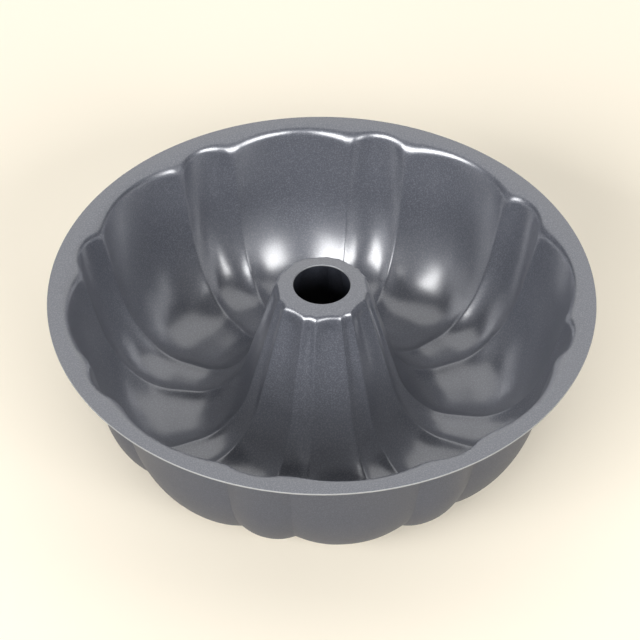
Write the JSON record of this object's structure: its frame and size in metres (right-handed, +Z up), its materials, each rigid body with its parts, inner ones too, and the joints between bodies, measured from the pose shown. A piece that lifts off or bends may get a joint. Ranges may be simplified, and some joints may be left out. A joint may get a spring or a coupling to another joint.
{
  "type": "fluted tube pan",
  "caption": "Round fluted cake pan with a flat rim flange, alternating wide and narrow flutes and an open tapered centre tube, drawn from one sheet of coated steel.",
  "frame": {"origin": "on the pan's axis, in the plane that it stands on", "axes": "+Z up the pan's axis, out of its open mouth; +X and +Y each down the middle of a wide flute"},
  "size_m": [0.1524, 0.1524, 0.0508],
  "materials": {
    "nonstick_coating": "satin dark grey non-stick coating with a fine speckle"
  },
  "bodies": {
    "root": {"pan_body": "nonstick_coating"}
  },
  "joints": []
}
